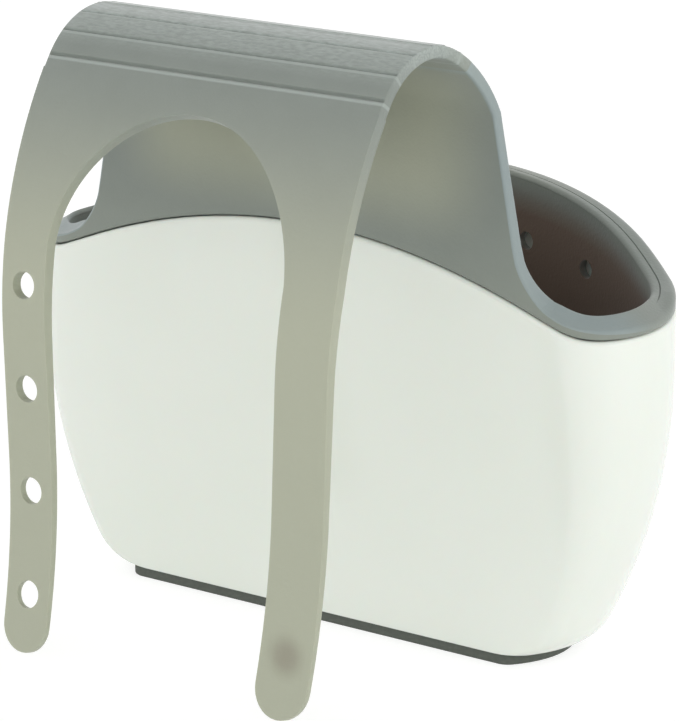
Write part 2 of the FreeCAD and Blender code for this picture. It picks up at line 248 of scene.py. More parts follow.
def outline(z, inset, depth):
    # arcs of one level outline, right half: centre, radius, first and last angle
    footBack = backAt(form["padTop"])
    full = footInset(0, form["padTop"])
    footDepth = form["front"] - full - footBack
    drawnIn = inset / full
    endR = mix(form["endRadius"], form["footEndShare"] * footDepth, drawnIn) - depth
    endY = mix(form["endY"], footBack + form["footCentreShare"] * footDepth, drawnIn)
    endX = form["halfLength"] - depth - inset - endR
    front = form["front"] - depth - inset
    back = backAt(z) + depth
    corner = mix(form["cornerFoot"], form["cornerRim"], z / form["rimApex"]) - depth
    corner = min(max(corner, form["cornerLeast"]), form["cornerMost"] * (endR + endY - back) / 2)
    frontR = (endR ** 2 - endX ** 2 - (endY - front) ** 2) / (2 * (endY - front + endR))
    cornerX = endX + math.sqrt((endR - corner) ** 2 - (back + corner - endY) ** 2)
    toFront = math.atan2(endY - front + frontR, endX)
    toBack = math.atan2(back + corner - endY, cornerX - endX)
    return [(0, front - frontR, frontR, math.pi / 2, toFront), (endX, endY, endR, toFront, toBack),
            (cornerX, back + corner, corner, toBack, -math.pi / 2)], (cornerX, back)


# lengths of front, end, corner and back along the rim: a place on the rim is a length from the front's middle
rimArcs, rimBack = outline(form["rimApex"], 0, form["stationDepth"])
rimLengths = [r * (a - b) for _, _, r, a, b in rimArcs] + [rimBack[0]]
rimTotal = sum(rimLengths)
endStart = rimLengths[0]
cornerStart = endStart + rimLengths[1]
backStart = cornerStart + rimLengths[2]


def spot(u, z, inset, depth):
    arcs, (cornerX, back) = outline(min(z, form["rimApex"]), inset, depth)
    for (x, y, r, first, last), length in zip(arcs, rimLengths):
        if u <= length:
            t = mix(first, last, u / length)
            return Vector((x + r * math.cos(t), y + r * math.sin(t), z))
        u -= length
    return Vector((cornerX * (1 - u / rimLengths[3]), back, z))


def mirrored(ring):
    # ring of the right half, both ends on the middle plane, to a closed ring
    return ring + [Vector((-p.x, p.y, p.z)) for p in ring[-2:0:-1]]


def sideRings(depth, floor, footSteps, sideSteps):
    # height and inset from the floor's edge up to where the sides become upright
    bow = form["sideRadius"] - depth
    foot = form["footRadius"] - depth
    start = footInset(depth, floor)
    sweep = math.acos((form["sideTop"] - floor - foot) / (bow - foot))
    rings = [(floor + foot * (1 - math.cos(t)), start - foot * math.sin(t))
             for t in spread(0, sweep, footSteps)]
    for z in spread(rings[-1][0], form["sideTop"], sideSteps)[1:]:
        rings.append((z, bow - math.sqrt(bow ** 2 - (form["sideTop"] - z) ** 2)))
    return rings


def startRing(bm, points):
    made = bmesh.ops.create_circle(bm, cap_ends=False, segments=len(points), radius=1)
    for v, p in zip(made["verts"], points):
        v.co = p
    return made["verts"]


def growRow(bm, row, points, closed=False):
    # extrudes a row of verts and moves the new row onto the points
    pairs = zip(row, row[1:] + row[:1]) if closed else zip(row, row[1:])
    made = bmesh.ops.extrude_edge_only(bm, edges=[bm.edges.get(pair) for pair in pairs])["geom"]
    fresh = {g for g in made if isinstance(g, bmesh.types.BMVert)}
    grown = []
    for v, p in zip(row, points):
        new = next(e.other_vert(v) for e in v.link_edges if e.other_vert(v) in fresh)
        new.co = p
        grown.append(new)
    return grown


def growRing(bm, ring, points):
    return growRow(bm, ring, points, closed=True)


def capRing(bm, ring):
    edges = [bm.edges.get(pair) for pair in zip(ring, ring[1:] + ring[:1])]
    face = bmesh.ops.contextual_create(bm, geom=edges)["faces"][0]
    bmesh.ops.inset_individual(bm, faces=[face], thickness=1.0, use_even_offset=True)


# straps paler towards the bottom and the front, less so on the liner; painted light makes the riser's top paler,
# as if lit through from behind; painted sheen lightens the crown's top
paleLitAndSheen = {"reach": 82, "length": 58, "alongY": 0.6, "alongZ": 0.8, "linerFrom": -27, "linerShare": 0.3,
        "lit": 0.9, "litFoot": 96, "litRise": 22, "litBack": -34, "litDepth": 9.5, "litHalf": 59,
        "litFade": 25, "streakedSheen": 0.6, "crownSheenFoot": 141.5, "crownSheenRise": 7}


def paintPaleLitAndSheen(bm):
    paleAndLitThrough = bm.verts.layers.float.new("paleAndLitThrough")
    crownSheen = bm.verts.layers.float.new("crownSheen")
    for v in bm.verts:
        x, y, z = v.co
        loose = ease((paleLitAndSheen["reach"] - paleLitAndSheen["alongY"] * y - paleLitAndSheen["alongZ"] * z) / paleLitAndSheen["length"])
        if y > paleLitAndSheen["linerFrom"]:
            loose *= paleLitAndSheen["linerShare"]
        # painted light: the riser's top is paler, as if lit through from behind
        lit = paleLitAndSheen["lit"] * ease((z - paleLitAndSheen["litFoot"]) / paleLitAndSheen["litRise"])
        lit *= clamp((y - paleLitAndSheen["litBack"]) / paleLitAndSheen["litDepth"])
        lit *= ease((paleLitAndSheen["litHalf"] - abs(x)) / paleLitAndSheen["litFade"])
        v[paleAndLitThrough] = max(loose, lit)
        # painted sheen on the crown's top, growing with height
        v[crownSheen] = paleLitAndSheen["streakedSheen"] * clamp((z - paleLitAndSheen["crownSheenFoot"]) / paleLitAndSheen["crownSheenRise"])


def finishPiece(bm, name, material):
    bmesh.ops.remove_doubles(bm, verts=bm.verts[:], dist=0.0005)
    bmesh.ops.recalc_face_normals(bm, faces=bm.faces[:])
    if material is rubber:
        paintPaleLitAndSheen(bm)
    bmesh.ops.scale(bm, vec=(mm, mm, mm), verts=bm.verts[:])
    for f in bm.faces:
        f.smooth = True
    mesh = bpy.data.meshes.new(name)
    bm.to_mesh(mesh)
    bm.free()
    mesh.materials.append(material)
    obj = bpy.data.objects.new(name, mesh)
    scene.collection.objects.link(obj)
    return obj


def ringPiece(rings, name, material):
    # closed skin through rings of the right half, with flat ends
    bm = bmesh.new()
    ring = startRing(bm, mirrored(rings[0]))
    capRing(bm, ring)
    for points in rings[1:]:
        ring = growRing(bm, ring, mirrored(points))
    capRing(bm, ring)
    return finishPiece(bm, name, material)


# outer shell

shell = {"wall": 2.6, "floor": 5.0, "outerRound": 1.1, "innerRound": 0.7}


def shellStations():
    return (spread(0, endStart, 22)[:-1] + spread(endStart, cornerStart, 20)[:-1]
            + spread(cornerStart, backStart, 14)[:-1] + spread(backStart, rimTotal, 14))


def buildShell():
    us = shellStations()
    edge = [spot(u, form["rimApex"], 0, 0) for u in us]
    rims = [rimZ(p.x, p.y) for p in edge]
    rings = [[spot(u, z, inset, 0) for u in us] for z, inset in sideRings(0, form["padTop"], 8, 12)]
    low = form["sideTop"]
    for share in spread(0, 1, 6)[1:]:
        rings.append([spot(u, mix(low, top - shell["outerRound"], share), 0, 0) for u, top in zip(us, rims)])
    r = shell["outerRound"]
    for t in spread(0, math.pi / 2, 5)[1:]:
        rings.append([spot(u, top - r + r * math.sin(t), 0, r * (1 - math.cos(t)))
                      for u, top in zip(us, rims)])
    r = shell["innerRound"]
    for t in spread(math.pi / 2, 0, 4):
        rings.append([spot(u, top - r + r * math.sin(t), 0, shell["wall"] - r * (1 - math.cos(t)))
                      for u, top in zip(us, rims)])
    for share in spread(1, 0, 4)[1:]:
        rings.append([spot(u, mix(low, top - r, share), 0, shell["wall"]) for u, top in zip(us, rims)])
    for z, inset in reversed(sideRings(shell["wall"], shell["floor"], 6, 8)[:-1]):
        rings.append([spot(u, z, inset, shell["wall"]) for u in us])
    return ringPiece(rings, "shell_skin", white)


shellSkin = buildShell()
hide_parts("outer_shell")
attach(shellSkin, "shell")
print("shell made")


# base pad

pad = {"reach": 1.2, "round": 0.35}


def buildPad():
    us = shellStations()
    inset = footInset(0, form["padTop"]) - pad["reach"]
    r = pad["round"]
    rings = [[spot(u, 0, inset + r, 0) for u in us], [spot(u, 0.3 * r, inset + 0.3 * r, 0) for u in us],
             [spot(u, r, inset, 0) for u in us], [spot(u, form["padTop"], inset, 0) for u in us]]
    return ringPiece(rings, "pad_skin", dark)


padSkin = buildPad()
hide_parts("base_pad")
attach(padSkin, "shell")
print("pad made")


# saddle path: riser, crown and the sheet down to the strap tips

saddle = {"sheet": 3.0, "crownTop": 148.7, "riserDepth": 0.8, "riserBend": 16.7, "crownRadius": 22.4,
          "turn": math.radians(54.7), "grooves": 6, "strapGrooves": 3, "lastSeam": math.radians(1.8),
          "span": 49.0, "edgeRound": 0.5, "halfWidth": 48.2, "riserHalfWidth": 55.2, "rootHalfWidth": 61.5,
          "rootZ": 98.5, "flare": 14.0, "curlRadius": 175.0, "straight": 28.4, "grooveHalf": 0.5,
          "grooveDeep": 0.75, "bendReach": 1.4, "grooveHighlight": 0.42}

riserY = backAt(form["rimApex"]) + saddle["riserDepth"]
apexY = riserY + saddle["sheet"] - saddle["riserBend"]
springZ = saddle["crownTop"] - saddle["riserBend"]
strapY = riserY - saddle["span"] - saddle["sheet"]
turnSine = math.sin(saddle["turn"])
panelRadius = (apexY - saddle["crownRadius"] * turnSine - strapY) / (1 - turnSine)
panelZ = (saddle["crownTop"] - saddle["crownRadius"] * (1 - math.cos(saddle["turn"]))
          - panelRadius * math.cos(saddle["turn"]))
curlZ = panelZ - saddle["straight"]
grooveStep = saddle["turn"] / saddle["strapGrooves"]
apexGroove = saddle["grooves"] - saddle["strapGrooves"] - 1
grooves = [grooveStep * (k - apexGroove) for k in range(saddle["grooves"])]
seams = [g - grooveStep / 2 for g in grooves] + [saddle["turn"] + saddle["lastSeam"]]


def crownPoint(t, depth):
    # t is the angle from the apex, negative towards the riser
    if t > saddle["turn"]:
        reach = panelRadius - depth
        return Vector((0, strapY + panelRadius - reach * math.sin(t), panelZ + reach * math.cos(t)))
    radius = saddle["crownRadius"] if t > 0 else saddle["riserBend"]
    return Vector((0, apexY - (radius - depth) * math.sin(t),
                   saddle["crownTop"] - radius + (radius - depth) * math.cos(t)))


def crownHalfWidth(t):
    if t >= 0:
        return saddle["halfWidth"]
    return mix(saddle["riserHalfWidth"], saddle["halfWidth"], math.cos(t))


def skirtPoint(z, depth):
    # point of the panel and straps at that height of the outer face
    if z > panelZ:
        lean = math.asin((z - panelZ) / panelRadius)
        reach = panelRadius - depth
        return strapY + panelRadius - reach * math.cos(lean), panelZ + reach * math.sin(lean)
    if z > curlZ:
        return strapY + depth, z
    lean = math.asin((curlZ - z) / saddle["curlRadius"])
    reach = saddle["curlRadius"] + depth
    return strapY - saddle["curlRadius"] + reach * math.cos(lean), curlZ - reach * math.sin(lean)


# liner: cup, lip and riser up to the first seam of the saddle

liner = {"outer": 3.2, "inner": 5.6, "underside": 5.6, "floor": 8.0, "lipGap": 0.3, "lipHeight": 4.0,
         "lipOuter": 0.2, "lipInner": 6.0, "lipRound": 1.6, "lipInnerRound": 0.9, "lipFoot": 0.4,
         "leanOut": 1.6, "leanIn": -0.5, "leanFrom": 0.35, "leanX": 60, "leanFade": 12,
         "turnShare": 0.4, "beadFrom": 0.4, "beadAt": 0.62, "beadDeep": 0.35, "rows": 28, "joinBelow": 2,
         "joinRise": 10, "lightAbove": 3, "lightDepth": 8.5, "coolSheen": 0.3, "coolFrom": -5, "coolDepth": 12}

seamArc = saddle["riserBend"] * (math.pi / 2 + seams[0])      # riser's bend up to the first seam
seamHalf = crownHalfWidth(seams[0])
slope = Vector((saddle["rootHalfWidth"] - saddle["riserHalfWidth"], saddle["rootZ"] - springZ)).normalized()
flareX = saddle["rootHalfWidth"] - slope.y * saddle["flare"]
flareZ = saddle["rootZ"] + slope.x * saddle["flare"]


def edgeTop(u, x, y):
    # height of the liner's top edge, run on round the riser's bend
    lipTop = rimZ(x, y) + liner["lipGap"] + liner["lipHeight"]
    if u < cornerStart:
        return lipTop
    if x <= seamHalf:
        return springZ + seamArc
    if x < saddle["riserHalfWidth"]:
        widen = (saddle["riserHalfWidth"] - x) / (saddle["riserHalfWidth"] - saddle["halfWidth"])
        return springZ + saddle["riserBend"] * math.asin(widen)
    if x < saddle["rootHalfWidth"]:
        down = (x - saddle["riserHalfWidth"]) / (saddle["rootHalfWidth"] - saddle["riserHalfWidth"])
        return mix(springZ, saddle["rootZ"], down)
    if x < flareX:
        return max(lipTop, flareZ - math.sqrt(saddle["flare"] ** 2 - (x - flareX) ** 2))
    return lipTop


def linerPoint(u, s, depth):
    # s is height, run on round the riser's bend above its spring
    if s <= springZ:
        return spot(u, s, 0, depth)
    x = spot(u, form["rimApex"], 0, depth).x
    t = (s - springZ) / saddle["riserBend"]
    radius = saddle["riserBend"] - (saddle["riserDepth"] + saddle["sheet"] - depth)
    return Vector((x, apexY + radius * math.cos(t), springZ + radius * math.sin(t)))


def linerStations():
    xs = spread(0, seamHalf, 12) + spread(seamHalf, saddle["riserHalfWidth"], 6)[1:]
    xs += spread(saddle["riserHalfWidth"], saddle["rootHalfWidth"], 9)[1:]
    firstTurn = math.atan2(saddle["rootZ"] - flareZ, saddle["rootHalfWidth"] - flareX)
    for t in spread(firstTurn, -math.pi / 2, 14)[1:]:
        x = flareX + saddle["flare"] * math.cos(t)
        if x < rimBack[0] - 0.3:
            xs.append(x)
    us = spread(0, endStart, 24)[:-1] + spread(endStart, cornerStart, 22)[:-1]
    us += spread(cornerStart, backStart, 16)
    return us + [rimTotal - x for x in reversed(xs)]


def buildLiner():
    us = linerStations()
    edge = [spot(u, form["rimApex"], 0, saddle["riserDepth"]) for u in us]
    xs = [p.x for p in edge]
    rims = [rimZ(p.x, p.y) for p in edge]
    tops = [edgeTop(u, p.x, p.y) for u, p in zip(us, edge)]
    atSeam = [x <= seamHalf + 0.001 and u > backStart for u, x in zip(us, xs)]
    atBack = [ease((u - cornerStart) / (backStart - cornerStart)) for u in us]
    rounds = [mix(liner["lipRound"], saddle["edgeRound"], b) for b in atBack]
    innerRounds = [mix(liner["lipInnerRound"], saddle["edgeRound"], b) for b in atBack]
    outers = [mix(liner["lipOuter"], saddle["riserDepth"], b) for b in atBack]
    narrow = [ease((flareX - x) / (flareX - saddle["riserHalfWidth"])) * b for x, b in zip(xs, atBack)]
    inners = [mix(liner["lipInner"], saddle["riserDepth"] + saddle["sheet"], n) for n in narrow]
    # the lip leans outwards from the end's turn to the riser, and the bead on the far lip runs out there
    turned = [(u - endStart) / rimLengths[1] for u in us]
    leans = [ease((t - liner["leanFrom"]) / liner["turnShare"]) for t in turned]
    leans = [lean * (1 if u < cornerStart else ease((x - liner["leanX"]) / liner["leanFade"]))
             for lean, u, x in zip(leans, us, xs)]
    beads = [1 - ease((t - liner["beadFrom"]) / liner["turnShare"]) for t in turned]

    # direction from the top edge into the sheet, along and up the wall
    inwards = []
    for k in range(len(us)):
        a, b = max(k - 1, 0), min(k + 1, len(us) - 1)
        along = Vector((us[b] - us[a], tops[b] - tops[a])).normalized()
        inwards.append(Vector((along.y, -along.x)))
        if atSeam[k]:
            inwards[k] = Vector((1, 0)) if not atSeam[max(k - 1, 0)] else Vector((0, 0))

    def wallRing(dip, depths, across):
        # ring at a distance inside the top edge, which leans outwards at the near corners
        ring = []
        for u, top, n, d, depth, lean in zip(us, tops, inwards, dip, depths, leans):
            d += lean * mix(liner["leanOut"], liner["leanIn"], across)
            ring.append(linerPoint(u + n.x * d, top + n.y * d, depth))
        return ring

    rings = [[spot(u, z, inset, liner["outer"]) for u in us]
             for z, inset in sideRings(liner["outer"], liner["underside"], 5, 6)]
    low = form["sideTop"]
    for share in spread(0, 1, 3)[1:]:
        rings.append([spot(u, mix(low, rim + liner["lipGap"], share), 0, liner["outer"])
                      for u, rim in zip(us, rims)])
    foot = liner["lipFoot"]
    for t in spread(0, math.pi / 2, 3):
        up, aside = foot * (1 - math.cos(t)), foot * (1 - math.sin(t))
        rings.append([linerPoint(u, rim + liner["lipGap"] + up, o + aside)
                      for u, rim, o in zip(us, rims, outers)])
    rows = liner["rows"]
    for k in range(1, rows):
        ring = []
        for u, rim, top, n, r, o, lean in zip(us, rims, tops, inwards, rounds, outers, leans):
            share = k / rows
            start = rim + liner["lipGap"] + foot
            dip = r + lean * liner["leanOut"]
            ring.append(linerPoint(u + n.x * dip * share, mix(start, top + n.y * dip, share), o))
        rings.append(ring)
    edgeFirst = len(rings)
    for t in spread(0, math.pi / 2, 4):
        rings.append(wallRing([r * (1 - math.sin(t)) for r in rounds],
                              [o + r * (1 - math.cos(t)) for o, r in zip(outers, rounds)], 0))
    for share, deep in ((0.25, 0), (0.5, 0), (0.56, 0), (liner["beadAt"], 1), (0.68, 0), (0.85, 0)):
        depths = [mix(o + r, i - q, share) for o, i, r, q in zip(outers, inners, rounds, innerRounds)]
        rings.append(wallRing([deep * b * liner["beadDeep"] for b in beads], depths, share))
    for t in spread(math.pi / 2, 0, 4):
        rings.append(wallRing([r * (1 - math.sin(t)) for r in innerRounds],
                              [i - r * (1 - math.cos(t)) for i, r in zip(inners, innerRounds)], 1))
    edgeLast = len(rings) - 1
    # down the inside, where the lip thins into the wall
    joins = [rim - liner["joinBelow"] for rim in rims]
    for k in range(1, rows + 1):
        ring = []
        for u, join, top, n, r, i, lean in zip(us, joins, tops, inwards, innerRounds, inners, leans):
            share = k / rows
            dip = r + lean * liner["leanIn"]
            s = mix(top + n.y * dip, join, share)
            depth = mix(liner["inner"], i, ease((s - join) / liner["joinRise"]))
            ring.append(linerPoint(u + n.x * dip * (1 - share), s, depth))
        rings.append(ring)
    for share in spread(1, 0, 8)[1:]:
        rings.append([spot(u, mix(low, join, share), 0, liner["inner"]) for u, join in zip(us, joins)])
    for z, inset in reversed(sideRings(liner["inner"], liner["floor"], 6, 10)[:-1]):
        rings.append([spot(u, z, inset, liner["inner"]) for u in us])

    bm = bmesh.new()
    inside = bm.verts.layers.float.new("inside")
    coolSheen = bm.verts.layers.float.new("coolSheen")
    seamRing = atSeam + atSeam[-2:0:-1]
    ring = startRing(bm, mirrored(rings[0]))
    capRing(bm, ring)
    spare = []
    for index, points in enumerate(rings[1:], 1):
        before = ring
        ring = growRing(bm, ring, mirrored(points))
        if edgeFirst < index <= edgeLast:
            for k in range(len(ring)):
                j = (k + 1) % len(ring)
                if seamRing[k] and seamRing[j]:
                    spare.append(bm.faces.get((before[k], before[j], ring[j], ring[k])))
        # painted cool sheen along the lip's top edge, stronger on the near side
        if edgeFirst <= index <= edgeLast:
            for v in ring:
                v[coolSheen] = liner["coolSheen"] * ease((liner["coolFrom"] - v.co.y) / liner["coolDepth"])
        # painted shade: the inner wall darkens to brown below the lip
        if index > edgeLast:
            for v, rim in zip(ring, rims + rims[-2:0:-1]):
                v[inside] = ease((rim + liner["lightAbove"] - v.co.z) / liner["lightDepth"])
    capRing(bm, ring)
    # painted shade: the cup's floor is fully dark
    for v in bm.verts:
        if abs(v.co.z - liner["floor"]) < 0.01:
            v[inside] = 1
    bmesh.ops.delete(bm, geom=[f for f in spare if f], context="FACES")
    return finishPiece(bm, "liner_skin", rubber)


# vents through the liner's far wall
vent = {"radius": 2.3, "spacing": 22.0, "below": 12.0, "count": 5, "drillY": 30, "drill": 40, "sleeve": 1.4,
        "sleeveShare": 0.96, "darkReach": 4, "darkHalf": 60}


def ventHeight(x):
    return rimZ(x, form["rimFrontY"]) - vent["below"]


def farWall(x, z):
    # middle of the far wall's thickness
    front = outline(z, 0, (liner["outer"] + liner["inner"]) / 2)[0][0]
    return front[1] + math.sqrt(front[2] ** 2 - x ** 2)


def ventTube(bm, place, radius, length, capped):
    place = Matrix.Translation(place) @ Matrix.Rotation(math.pi / 2, 4, "X")
    return bmesh.ops.create_cone(bm, cap_ends=capped, segments=32, radius1=radius, radius2=radius,
                                 depth=length, matrix=place)["verts"]


def cutVents(obj):
    middles = [vent["spacing"] * (k - (vent["count"] - 1) / 2) for k in range(vent["count"])]
    bm = bmesh.new()
    for x in middles:
        ventTube(bm, (x, vent["drillY"], ventHeight(x)), vent["radius"], vent["drill"], True)
    tool = finishPiece(bm, "vent_tool", rubber)
    cut = obj.modifiers.new("vents", "BOOLEAN")
    cut.object = tool
    cut.solver = "EXACT"
    shape = bpy.data.meshes.new_from_object(obj.evaluated_get(bpy.context.evaluated_depsgraph_get()))
    obj.modifiers.clear()
    obj.data = shape
    bpy.data.objects.remove(tool)
    # the cut's edges get the same painted shade as the wall round them; a sleeve in each hole gets half that
    # shade, for painted light from behind
    bm = bmesh.new()
    bm.from_mesh(shape)
    inside = bm.verts.layers.float["inside"]
    for v in bm.verts:
        x, y, z = v.co / mm
        near = abs(x) < vent["darkHalf"] and abs(z - ventHeight(x)) < vent["darkReach"]
        if near and 0 < y < farWall(x, z):
            v[inside] = 1
    for x in middles:
        z = ventHeight(x)
        radius = vent["sleeveShare"] * vent["radius"] * mm
        for v in ventTube(bm, Vector((x, farWall(x, z), z)) * mm, radius, vent["sleeve"] * mm, False):
            v[inside] = 0.5
    for e in bm.edges:
        e.smooth = len(e.link_faces) < 2 or e.calc_face_angle() < 0.7
    bm.to_mesh(shape)
    bm.free()


linerSkin = buildLiner()
cutVents(linerSkin)
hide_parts("liner")
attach(linerSkin, "liner")
print("liner made")


# saddle over the crown: one piece across each groove, so that it bends there

def sheetSection(half):
    # closed section across the saddle: x and depth, round edges
    r = saddle["edgeRound"]
    thick = saddle["sheet"]
    flat = half - r
    turnsOut = [(flat + r * math.sin(t), r - r * math.cos(t)) for t in spread(0, math.pi / 2, 3)[1:]]
    turnsIn = [(x, thick - depth) for x, depth in reversed(turnsOut)]
    right = turnsOut + turnsIn
    face = spread(-flat, flat, 16)
    return ([(x, 0) for x in face] + right + [(x, thick) for x in reversed(face)]
            + [(-x, depth) for x, depth in reversed(right)])


def crownAngle(groove, offset):
    # angle of the point that lies offset along the outer face from a groove
    if groove >= saddle["turn"] - 0.001 and offset > 0:
        return saddle["turn"] + offset / panelRadius
    return groove + offset / (saddle["crownRadius"] if groove > -0.001 else saddle["riserBend"])


def buildCrown(number):
    first, last, groove = seams[number], seams[number + 1], grooves[number]
    half = saddle["grooveHalf"]
    # place in half widths and depth of the groove's section, with a raised lower edge
    steps = [(-1.7, 0), (-1.15, 0.04), (-0.8, 0.35), (-0.3, 0.92), (0, 1), (0.3, 0.92), (0.8, 0.3),
             (1.15, -0.12), (1.7, -0.2), (2.3, -0.1), (2.9, 0)]
    rows = [(t, 0) for t in spread(first, crownAngle(groove, steps[0][0] * half), 4)[:-1]]
    rows += [(crownAngle(groove, share * half), deep * saddle["grooveDeep"]) for share, deep in steps]
    rows += [(t, 0) for t in spread(crownAngle(groove, steps[-1][0] * half), last, 4)[1:]]
    bm = bmesh.new()
    grooveHighlight = bm.verts.layers.float.new("grooveHighlight")
    ring = None
    for t, deep in rows:
        points = []
        for x, depth in sheetSection(crownHalfWidth(t)):
            p = crownPoint(t, depth + (deep if depth == 0 else 0))
            points.append(Vector((x, p.y, p.z)))
        ring = growRing(bm, ring, points) if ring else startRing(bm, points)
        # painted highlight on the groove's raised lower edge
        for v in ring:
            v[grooveHighlight] = saddle["grooveHighlight"] if deep < 0 else 0
    obj = finishPiece(bm, "saddle_skin_%d" % (number + 1), rubber)
    bodies = ["liner"] + ["crown_strip_%d" % k for k in range(1, saddle["grooves"])] + ["panel"]
    start = crownPoint(crownAngle(groove, -saddle["bendReach"]), saddle["sheet"] / 2)
    end = crownPoint(crownAngle(groove, saddle["bendReach"]), saddle["sheet"] / 2)
    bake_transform(obj, bodies[number], bodies[number + 1], start * mm, end * mm)
    if number:
        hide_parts("crown_strip_%d" % number)


for number in range(saddle["grooves"]):
    buildCrown(number)
print("saddle made")


# strap panel and straps: drawn flat in the front view, thickened, then bent along the path

strap = {"archTop": 131.0, "archZ": 99.0, "rootX": 41.0, "tipX": 37.6, "tipZ": 1.6, "leftWidth": 12.9,
         "rightWidth": 14.4, "tipThick": 1.3, "columns": 9, "rows": 44, "tipRows": 8, "archSteps": 28,
         "holeRadius": 3.25, "holes": (15.0, 39.5, 64.0, 88.5), "slits": (27.25, 51.75, 76.25),
         "seams": (81.8, 57.2, 32.7), "patch": 5.3, "patchRows": 8, "bendReach": 4}

topZ = crownPoint(seams[-1], 0).z


def strapShare(z):
    # 0 at the arch's foot, 1 at the tips
    return (strap["archZ"] - z) / (strap["archZ"] - strap["tipZ"])


def strapX(z):
    return mix(strap["rootX"], strap["tipX"], strapShare(z))


def thickness(z):
    # straps thin out from the arch's foot to the tips
    return mix(saddle["sheet"], strap["tipThick"], max(strapShare(z), 0))


# button stud on the right strap's inner face; the strap carries a painted shadow of it, a soft dark spot
stud = {"z": 15.8, "stem": 2.9, "stemLength": 2.2, "head": 3.7, "headThick": 1.6, "round": 0.6,
        "foot": ((0.6, -0.2), (0.15, 0.2), (0, 0.7)), "shade": 0.4, "shadeEdge": 1.25, "shadeSpread": 1.4}


def buildStud():
    bm = bmesh.new()
    y, z = skirtPoint(stud["z"], thickness(stud["z"]))
    outY, outZ = skirtPoint(stud["z"], 0)
    axis = Vector((0, y - outY, z - outZ)).normalized()
    foot = Vector((strapX(stud["z"]), y, z))
    r = stud["round"]
    top = stud["stemLength"] + stud["headThick"]
    profile = [(stud["stem"] + wide, high) for wide, high in stud["foot"]]
    profile.append((stud["stem"], stud["stemLength"]))
    profile += [(stud["head"] - r + r * math.sin(t), stud["stemLength"] + r - r * math.cos(t))
                for t in spread(0, math.pi / 2, 4)]
    profile += [(stud["head"] - r + r * math.cos(t), top - r + r * math.sin(t))
                for t in spread(0, math.pi / 2, 4)]
    profile.append((0, top))
    out = Vector((1, 0, 0))
    chain = [bm.verts.new(foot + out * a + axis * b) for a, b in profile]
    edges = [bm.edges.new(pair) for pair in zip(chain, chain[1:])]
    bmesh.ops.spin(bm, geom=chain + edges, cent=foot, axis=axis, dvec=(0, 0, 0), angle=2 * math.pi, steps=40,
                   use_merge=True, use_duplicate=False)
    return finishPiece(bm, "stud_skin", rubber)


def panelHalf(bm, side, width):
    # arch edge first, then out to the top and the side, then cut into columns
    rise = strap["archTop"] - strap["archZ"]
    archHalf = strap["rootX"] - width / 2
    radius = (archHalf ** 2 + rise ** 2) / (2 * rise)
    centre = strap["archTop"] - radius
    sweep = math.pi / 2 - math.asin((strap["archZ"] - centre) / radius)
    steps = strap["archSteps"]
    first = bm.verts.new((0, 0, strap["archTop"]))
    bmesh.ops.spin(bm, geom=[first], cent=(0, 0, centre), axis=(0, side, 0), dvec=(0, 0, 0), angle=sweep,
                   steps=steps, use_merge=False, use_duplicate=False)
    arch = [first]
    while len(arch) <= steps:
        arch.append(next(v for v in (e.other_vert(arch[-1]) for e in arch[-1].link_edges) if v not in arch))
    half = saddle["halfWidth"]
    across = steps // 2
    outer = [Vector((side * half * k / across, 0, topZ)) for k in range(across + 1)]
    down = steps - across
    for k in range(1, down + 1):
        share = k / down
        outer.append(Vector((side * mix(half, strap["rootX"] + width / 2, share), 0,
                             mix(topZ, strap["archZ"], share))))
    edge = growRow(bm, arch, outer)
    rungs = [bm.edges.get((a, b)) for a, b in zip(arch, edge)]
    bmesh.ops.subdivide_edges(bm, edges=rungs, cuts=strap["columns"] - 1, use_grid_fill=True)
    row = [v for v in bm.verts if abs(v.co.z - strap["archZ"]) < 1e-4 and v.co.x * side > archHalf - 1e-3
           and v.co.x * side < half + 1e-3]
    row.sort(key=lambda v: abs(v.co.x))
    return row


def strapRows(bm, row, side, width, holed):
    # rows down the strap; a hole takes the place of a patch of faces
    tipMiddle = strap["tipZ"] + width / 2
    fixed = strap["seams"] + strap["slits"]
    marks = spread(strap["archZ"], tipMiddle, strap["rows"])[:-1] + list(fixed)
    patches = [(h - strap["patch"], h + strap["patch"]) for h in strap["holes"]]
    marks = [z for z in marks if all(abs(z - m) > 0.8 for m in fixed if z != m)]
    marks = [z for z in marks if all(z < a - 0.6 or z > b + 0.6 for a, b in patches)]
    for a, b in patches:
        marks += spread(a, b, strap["patchRows"])
    marks = [z for z in marks if tipMiddle + 0.6 < z < strap["archZ"] - 0.5] + [tipMiddle]
    columns = strap["columns"]
    for z in sorted(marks, reverse=True):
        row = growRow(bm, row, [Vector((side * (strapX(z) + width * (k / columns - 0.5)), 0, z))
                                for k in range(columns + 1)])
    for t in spread(0, math.pi / 2, strap["tipRows"])[1:]:
        z = tipMiddle - width / 2 * math.sin(t)
        row = growRow(bm, row, [Vector((side * (strapX(z) + width * math.cos(t) * (k / columns - 0.5)), 0, z))
                                for k in range(columns + 1)])
    if not holed:
        return
    for h in strap["holes"]:
        middle = Vector((side * strapX(h), 0, h))
        patch = [f for f in bm.faces if abs(f.calc_center_median().z - h) < strap["patch"] - 0.1
                 and f.calc_center_median().x * side > 0]
        corners = {v for f in patch for v in f.verts}
        rim = [v for v in corners if not all(f in patch for f in v.link_faces) or v.is_boundary]
        bmesh.ops.delete(bm, geom=list(corners - set(rim)), context="VERTS")
        rim.sort(key=lambda v: math.atan2(v.co.z - h, v.co.x - middle.x))
        hole = growRing(bm, rim, [middle + (v.co - middle).normalized() * strap["holeRadius"] for v in rim])
        rungs = [bm.edges.get(pair) for pair in zip(rim, hole)]
        bmesh.ops.subdivide_edges(bm, edges=rungs, cuts=2, use_grid_fill=True)


